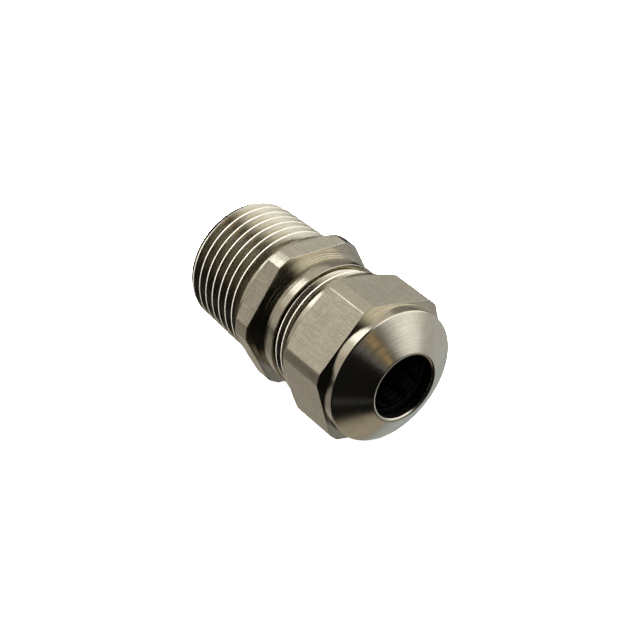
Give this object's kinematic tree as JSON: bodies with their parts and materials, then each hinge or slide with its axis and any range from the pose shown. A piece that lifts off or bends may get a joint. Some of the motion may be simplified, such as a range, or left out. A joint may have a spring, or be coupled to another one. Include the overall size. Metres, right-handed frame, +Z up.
{
  "type": "cable gland",
  "caption": "Nickel-plated brass cable gland: tapered entry thread, hexagon body and a domed nut that clamps the cable with a ring of fingers.",
  "frame": {"origin": "under the middle of the gland, on the surface that its lowest corner touches", "axes": "+X along the gland's axis towards the cable nut, +Z up, one flat of the body's hexagon facing straight down"},
  "size_m": [0.0408, 0.0244, 0.0237],
  "materials": {
    "body_nickel": "bright nickel plating over turned brass",
    "nut_nickel": "nickel plating over brass, finely turned nose",
    "black_rubber": "matt moulded chloroprene",
    "black_nylon": "satin moulded polyamide",
    "slip_nylon": "smooth moulded polyamide"
  },
  "bodies": {
    "gland_body": {"gland_body": "body_nickel", "sealing_sleeve": "black_rubber", "cage_ring": "black_nylon"},
    "slip_ring": {"slip_ring": "slip_nylon"},
    "dome_nut": {"dome_nut": "nut_nickel"},
    "clamp_finger_1": {"clamp_finger_1": "black_nylon"},
    "clamp_finger_2": {"clamp_finger_2": "black_nylon"},
    "clamp_finger_3": {"clamp_finger_3": "black_nylon"},
    "clamp_finger_4": {"clamp_finger_4": "black_nylon"},
    "clamp_finger_5": {"clamp_finger_5": "black_nylon"},
    "clamp_finger_6": {"clamp_finger_6": "black_nylon"},
    "clamp_finger_7": {"clamp_finger_7": "black_nylon"},
    "clamp_finger_8": {"clamp_finger_8": "black_nylon"},
    "clamp_finger_9": {"clamp_finger_9": "black_nylon"},
    "clamp_finger_10": {"clamp_finger_10": "black_nylon"}
  },
  "joints": [
    {"name": "nut_travel", "type": "slide", "parent": "gland_body", "child": "slip_ring", "axis": [1, 0, 0], "range_m": [-0.00188, 0.00125]},
    {"name": "nut_turn", "type": "hinge", "parent": "slip_ring", "child": "dome_nut", "pos_m": [0.0096, 0, 0.01186], "axis": [1, 0, 0], "range_deg": [-540, 360]},
    {"name": "finger_1_bend", "type": "hinge", "parent": "gland_body", "child": "clamp_finger_1", "pos_m": [0.00725, 0.00645, 0.01186], "axis": [0, 0, 1], "range_deg": [-6.6, 4.4]},
    {"name": "finger_2_bend", "type": "hinge", "parent": "gland_body", "child": "clamp_finger_2", "pos_m": [0.00725, 0.00522, 0.01565], "axis": [0, -0.5878, 0.809], "range_deg": [-6.6, 4.4]},
    {"name": "finger_3_bend", "type": "hinge", "parent": "gland_body", "child": "clamp_finger_3", "pos_m": [0.00725, 0.00199, 0.018], "axis": [0, -0.9511, 0.309], "range_deg": [-6.6, 4.4]},
    {"name": "finger_4_bend", "type": "hinge", "parent": "gland_body", "child": "clamp_finger_4", "pos_m": [0.00725, -0.00199, 0.018], "axis": [0, -0.9511, -0.309], "range_deg": [-6.6, 4.4]},
    {"name": "finger_5_bend", "type": "hinge", "parent": "gland_body", "child": "clamp_finger_5", "pos_m": [0.00725, -0.00522, 0.01565], "axis": [0, -0.5878, -0.809], "range_deg": [-6.6, 4.4]},
    {"name": "finger_6_bend", "type": "hinge", "parent": "gland_body", "child": "clamp_finger_6", "pos_m": [0.00725, -0.00645, 0.01186], "axis": [0, 0, -1], "range_deg": [-6.6, 4.4]},
    {"name": "finger_7_bend", "type": "hinge", "parent": "gland_body", "child": "clamp_finger_7", "pos_m": [0.00725, -0.00522, 0.00807], "axis": [0, 0.5878, -0.809], "range_deg": [-6.6, 4.4]},
    {"name": "finger_8_bend", "type": "hinge", "parent": "gland_body", "child": "clamp_finger_8", "pos_m": [0.00725, -0.00199, 0.00573], "axis": [0, 0.9511, -0.309], "range_deg": [-6.6, 4.4]},
    {"name": "finger_9_bend", "type": "hinge", "parent": "gland_body", "child": "clamp_finger_9", "pos_m": [0.00725, 0.00199, 0.00573], "axis": [0, 0.9511, 0.309], "range_deg": [-6.6, 4.4]},
    {"name": "finger_10_bend", "type": "hinge", "parent": "gland_body", "child": "clamp_finger_10", "pos_m": [0.00725, 0.00522, 0.00807], "axis": [0, 0.5878, 0.809], "range_deg": [-6.6, 4.4]}
  ],
  "couplings": [
    {"joint": "nut_travel", "follows": "nut_turn", "m_per_rad": 0.00019894},
    {"joint": "finger_1_bend", "follows": "nut_turn", "ratio": 0.012028},
    {"joint": "finger_2_bend", "follows": "nut_turn", "ratio": 0.012028},
    {"joint": "finger_3_bend", "follows": "nut_turn", "ratio": 0.012028},
    {"joint": "finger_4_bend", "follows": "nut_turn", "ratio": 0.012028},
    {"joint": "finger_5_bend", "follows": "nut_turn", "ratio": 0.012028},
    {"joint": "finger_6_bend", "follows": "nut_turn", "ratio": 0.012028},
    {"joint": "finger_7_bend", "follows": "nut_turn", "ratio": 0.012028},
    {"joint": "finger_8_bend", "follows": "nut_turn", "ratio": 0.012028},
    {"joint": "finger_9_bend", "follows": "nut_turn", "ratio": 0.012028},
    {"joint": "finger_10_bend", "follows": "nut_turn", "ratio": 0.012028}
  ]
}
